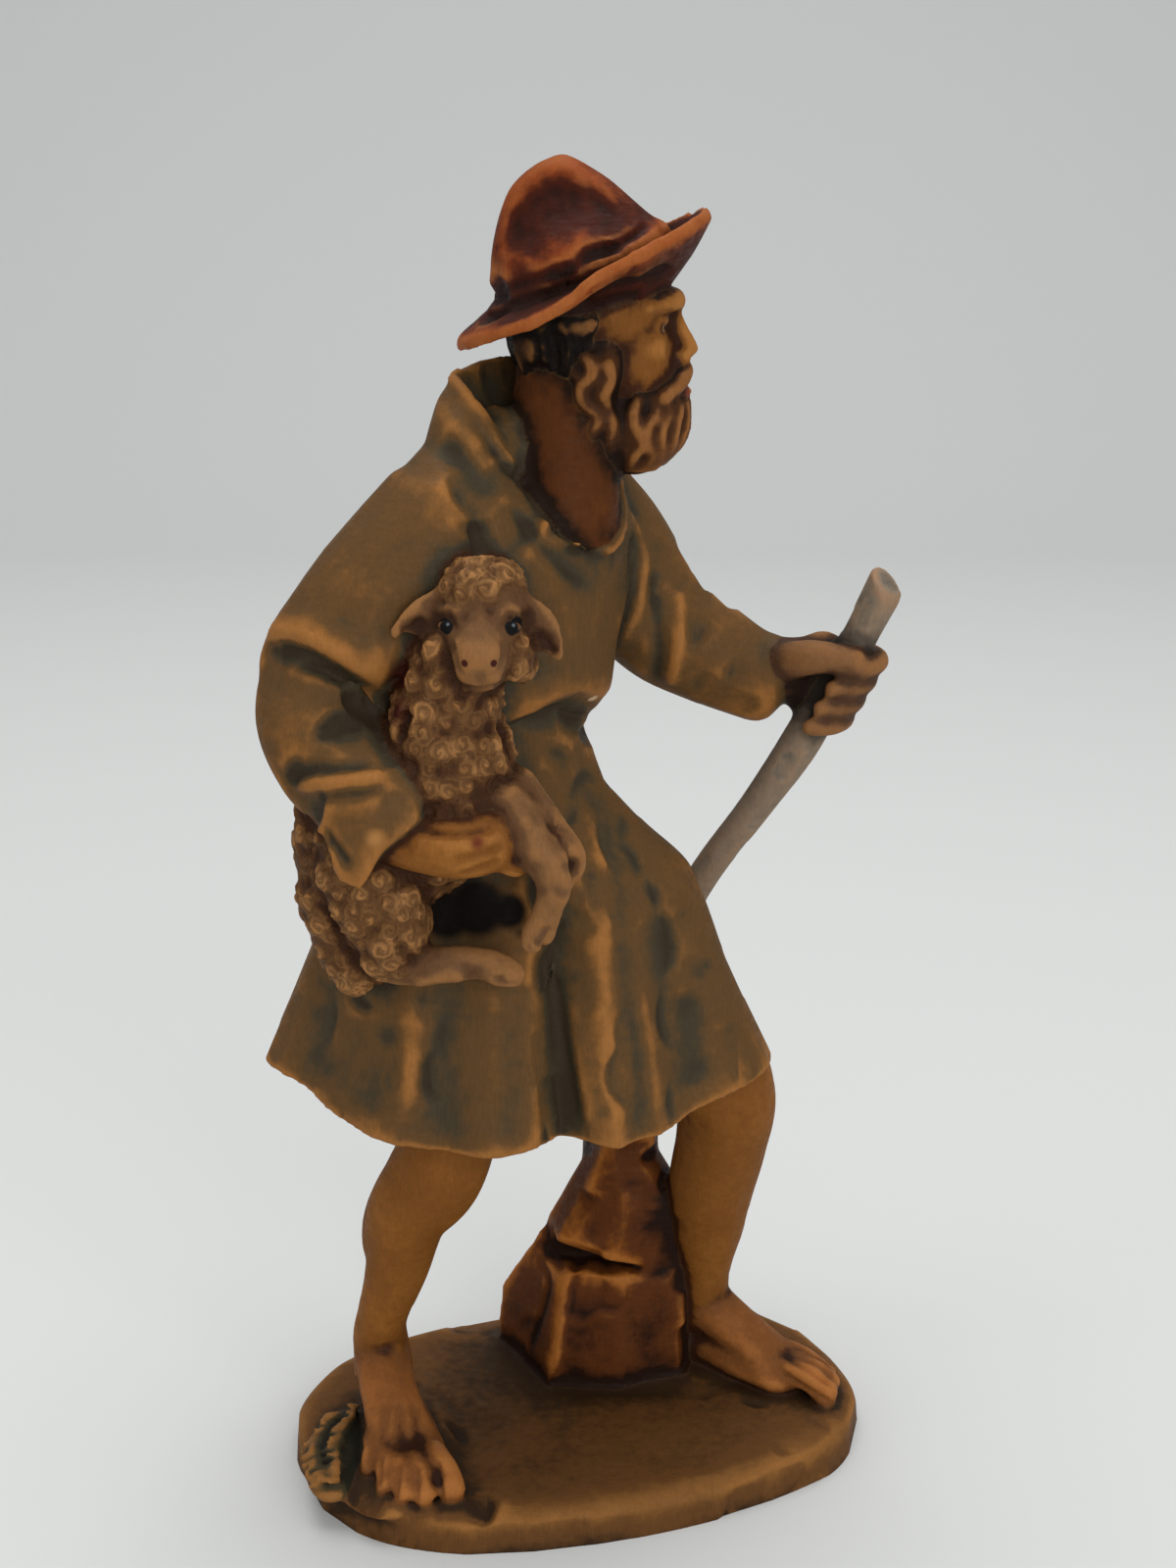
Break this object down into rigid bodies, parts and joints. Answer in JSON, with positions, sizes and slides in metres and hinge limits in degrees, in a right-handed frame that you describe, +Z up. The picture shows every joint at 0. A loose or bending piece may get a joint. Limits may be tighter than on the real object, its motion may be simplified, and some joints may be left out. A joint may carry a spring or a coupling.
{
  "type": "nativity shepherd figurine",
  "caption": "Carved wooden shepherd with hat and beard, walking with a stick, a lamb under his arm, on an oval base.",
  "frame": {"origin": "middle of the base's flat underside", "axes": "+X the way the shepherd walks, +Z up, -Y the side of the lamb, the side that the picture shows"},
  "size_m": [0.0681, 0.0488, 0.1437],
  "materials": {
    "painted_wood": "satin stained and painted wood"
  },
  "bodies": {
    "root": {"shepherd_figurine": "painted_wood"}
  },
  "joints": []
}
